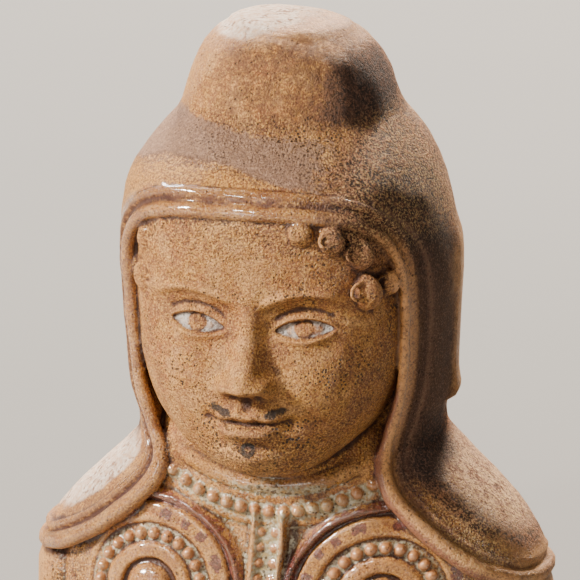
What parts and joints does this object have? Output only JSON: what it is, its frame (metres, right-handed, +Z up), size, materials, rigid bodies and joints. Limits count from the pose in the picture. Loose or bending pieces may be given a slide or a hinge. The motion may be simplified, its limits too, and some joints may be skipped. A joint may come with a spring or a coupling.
{
  "type": "tomb figurine bust",
  "caption": "Bust of a moulded and glazed earthenware tomb warrior in a knobbed hood with a shoulder cape, beaded collar, strap and round breast plates.",
  "frame": {"origin": "middle of the flat underside, on the body's own axis", "axes": "+Z up, the face looks along -Y, +X is to the viewer's right"},
  "size_m": [0.1078, 0.0724, 0.1381],
  "materials": {
    "glazed_earthenware": "straw to amber lead glaze, finely crackled and pitted, worn matt on the crown, with traces of painted pigment"
  },
  "bodies": {
    "root": {"bust": "glazed_earthenware"}
  },
  "joints": []
}
